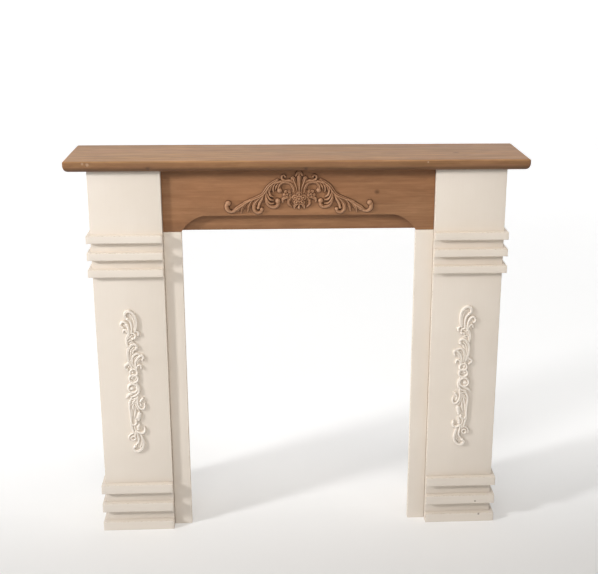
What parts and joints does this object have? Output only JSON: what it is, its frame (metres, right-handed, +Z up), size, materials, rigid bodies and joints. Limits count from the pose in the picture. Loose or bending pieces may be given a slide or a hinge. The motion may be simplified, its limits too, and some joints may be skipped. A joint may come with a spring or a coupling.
{
  "type": "fireplace mantelpiece",
  "caption": "Free-standing fireplace surround: a timber shelf and arched frieze with a carved scroll, on two painted box legs with stepped bands and carved drops.",
  "frame": {"origin": "on the floor under the middle of the shelf, halfway between its front and its back", "axes": "+X along the shelf, +Y from the front to the wall behind, +Z up"},
  "size_m": [1.2, 0.24, 1.052],
  "materials": {
    "shelf_timber": "warm brown stained timber, satin, with small nicks on the front edge",
    "frieze_timber": "reddish brown stained timber, satin, fine grain along its length",
    "cream_paint": "cream paint on timber, eggshell, softly worn at the edges"
  },
  "bodies": {
    "root": {"shelf": "shelf_timber", "frieze_board": "frieze_timber", "frieze_back_board": "frieze_timber", "frieze_ornament": "frieze_timber", "left_face_board": "cream_paint", "left_outer_side_board": "cream_paint", "left_inner_side_board": "cream_paint", "left_slip": "cream_paint", "left_leg_ornament": "cream_paint", "left_base_band_1_front": "cream_paint", "left_base_band_1_side": "cream_paint", "left_base_band_2_front": "cream_paint", "left_base_band_2_side": "cream_paint", "left_base_band_3_front": "cream_paint", "left_base_band_3_side": "cream_paint", "left_upper_band_1_front": "cream_paint", "left_upper_band_1_side": "cream_paint", "left_upper_band_2_front": "cream_paint", "left_upper_band_2_side": "cream_paint", "left_upper_band_3_front": "cream_paint", "left_upper_band_3_side": "cream_paint", "right_face_board": "cream_paint", "right_outer_side_board": "cream_paint", "right_inner_side_board": "cream_paint", "right_slip": "cream_paint", "right_leg_ornament": "cream_paint", "right_base_band_1_front": "cream_paint", "right_base_band_1_side": "cream_paint", "right_base_band_2_front": "cream_paint", "right_base_band_2_side": "cream_paint", "right_base_band_3_front": "cream_paint", "right_base_band_3_side": "cream_paint", "right_upper_band_1_front": "cream_paint", "right_upper_band_1_side": "cream_paint", "right_upper_band_2_front": "cream_paint", "right_upper_band_2_side": "cream_paint", "right_upper_band_3_front": "cream_paint", "right_upper_band_3_side": "cream_paint"}
  },
  "joints": []
}
